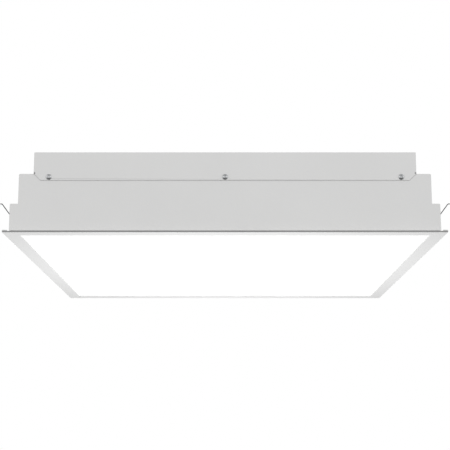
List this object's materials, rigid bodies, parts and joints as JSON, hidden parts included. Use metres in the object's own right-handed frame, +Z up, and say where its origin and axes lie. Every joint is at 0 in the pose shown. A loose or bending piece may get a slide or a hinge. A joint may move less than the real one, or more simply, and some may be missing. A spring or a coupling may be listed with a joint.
{
  "type": "recessed troffer light",
  "caption": "Square recessed ceiling luminaire with a stepped sheet-steel housing, a drop-hinged opal diffuser frame and sprung side clips.",
  "frame": {"origin": "centre of the diffuser frame's underside", "axes": "+Z up into the ceiling, +X the width along the lapped end plates, +Y away from the front end plate towards the hinged edge"},
  "size_m": [0.6192, 0.595, 0.1147],
  "materials": {
    "body_paint": "fine-texture light grey powder coat on sheet steel",
    "frame_paint": "smooth white powder coat, bare darker outer edge",
    "reflector_paint": "high-reflectance white paint",
    "opal": "satin opal acrylic, lit evenly from behind",
    "bright_zinc": "bright zinc-plated steel",
    "zinc": "galvanised sheet steel",
    "spring_steel": "drawn spring steel wire",
    "rivet_alu": "aluminium blind rivet",
    "magnet": "nickel-plated magnet",
    "board_white": "white solder mask on a circuit board",
    "led": "phosphor-filled LED package",
    "nylon": "white nylon",
    "driver_case": "white painted driver case",
    "driver_caps": "white moulded end cap",
    "terminal_grey": "grey moulded polyamide",
    "button_orange": "orange moulded button",
    "brass": "plain brass",
    "grommet": "black rubber",
    "wire_brown": "PVC insulation",
    "wire_blue": "PVC insulation",
    "wire_green": "PVC insulation, green with a yellow stripe",
    "wire_red": "PVC insulation",
    "wire_black": "PVC insulation"
  },
  "bodies": {
    "housing": {"housing_shell": "body_paint", "front_end_plate": "body_paint", "rear_end_plate": "body_paint", "gear_cover": "body_paint", "cover_screws": "bright_zinc", "clinch_nuts": "zinc", "magnet_holders": "zinc", "catch_magnets": "magnet", "hinge_guides": "zinc", "guide_rivets": "rivet_alu", "clip_brackets": "zinc", "clip_pins": "spring_steel", "clip_rivets": "rivet_alu", "led_tray": "reflector_paint", "led_strips": "board_white", "leds": "led", "board_rivets": "nylon", "reflector_right": "reflector_paint", "reflector_rear": "reflector_paint", "reflector_left": "reflector_paint", "reflector_front": "reflector_paint", "tray_spacers": "zinc", "tray_screws": "bright_zinc", "tray_nuts": "zinc", "driver_case": "driver_case", "driver_end_caps": "driver_caps", "driver_screws": "bright_zinc", "terminal_block": "terminal_grey", "terminal_bracket": "zinc", "terminal_screws": "bright_zinc", "earth_screw": "brass", "earth_washer": "brass", "cable_clamp": "nylon", "clamp_screws": "bright_zinc", "cable_grommet": "grommet", "wire_grommet": "grommet", "wire_live": "wire_brown", "wire_neutral": "wire_blue", "wire_earth": "wire_green", "led_wire_plus": "wire_red", "led_wire_minus": "wire_black"},
    "hinge_carrier": {"hinge_straps": "zinc"},
    "diffuser_door": {"frame_right": "frame_paint", "frame_rear": "frame_paint", "frame_left": "frame_paint", "frame_front": "frame_paint", "corner_keys": "zinc", "diffuser": "opal", "diffuser_tabs": "spring_steel", "hinge_ears": "zinc", "hinge_pins": "spring_steel"},
    "clip_front_left": {"spring_clip_front_left": "spring_steel"},
    "clip_front_right": {"spring_clip_front_right": "spring_steel"},
    "clip_rear_left": {"spring_clip_rear_left": "spring_steel"},
    "clip_rear_right": {"spring_clip_rear_right": "spring_steel"},
    "release_button_left": {"terminal_button_left": "button_orange"},
    "release_button_middle": {"terminal_button_middle": "button_orange"},
    "release_button_right": {"terminal_button_right": "button_orange"}
  },
  "joints": [
    {"name": "hinge_drop", "type": "slide", "parent": "housing", "child": "hinge_carrier", "axis": [0, 0, -1], "range_m": [0, 0.0281]},
    {"name": "door_swing", "type": "hinge", "parent": "hinge_carrier", "child": "diffuser_door", "pos_m": [0, 0.2845, 0.008], "axis": [1, 0, 0], "range_deg": [0, 90]},
    {"name": "clip_fold_front_left", "type": "hinge", "parent": "housing", "child": "clip_front_left", "pos_m": [-0.2935, -0.2575, 0.02647], "axis": [0, 1, 0], "range_deg": [0, 30], "stiffness_Nm_per_rad": 0.12},
    {"name": "clip_fold_front_right", "type": "hinge", "parent": "housing", "child": "clip_front_right", "pos_m": [0.2935, -0.2575, 0.02647], "axis": [0, -1, 0], "range_deg": [0, 30], "stiffness_Nm_per_rad": 0.12},
    {"name": "clip_fold_rear_left", "type": "hinge", "parent": "housing", "child": "clip_rear_left", "pos_m": [-0.2935, 0.2575, 0.02647], "axis": [0, 1, 0], "range_deg": [0, 30], "stiffness_Nm_per_rad": 0.12},
    {"name": "clip_fold_rear_right", "type": "hinge", "parent": "housing", "child": "clip_rear_right", "pos_m": [0.2935, 0.2575, 0.02647], "axis": [0, -1, 0], "range_deg": [0, 30], "stiffness_Nm_per_rad": 0.12},
    {"name": "button_press_left", "type": "slide", "parent": "housing", "child": "release_button_left", "axis": [0, 0, -1], "range_m": [0, 0.0012], "stiffness_N_per_m": 600},
    {"name": "button_press_middle", "type": "slide", "parent": "housing", "child": "release_button_middle", "axis": [0, 0, -1], "range_m": [0, 0.0012], "stiffness_N_per_m": 600},
    {"name": "button_press_right", "type": "slide", "parent": "housing", "child": "release_button_right", "axis": [0, 0, -1], "range_m": [0, 0.0012], "stiffness_N_per_m": 600}
  ],
  "couplings": [
    {"joint": "hinge_drop", "follows": "door_swing", "m_per_rad": 0.017825}
  ]
}
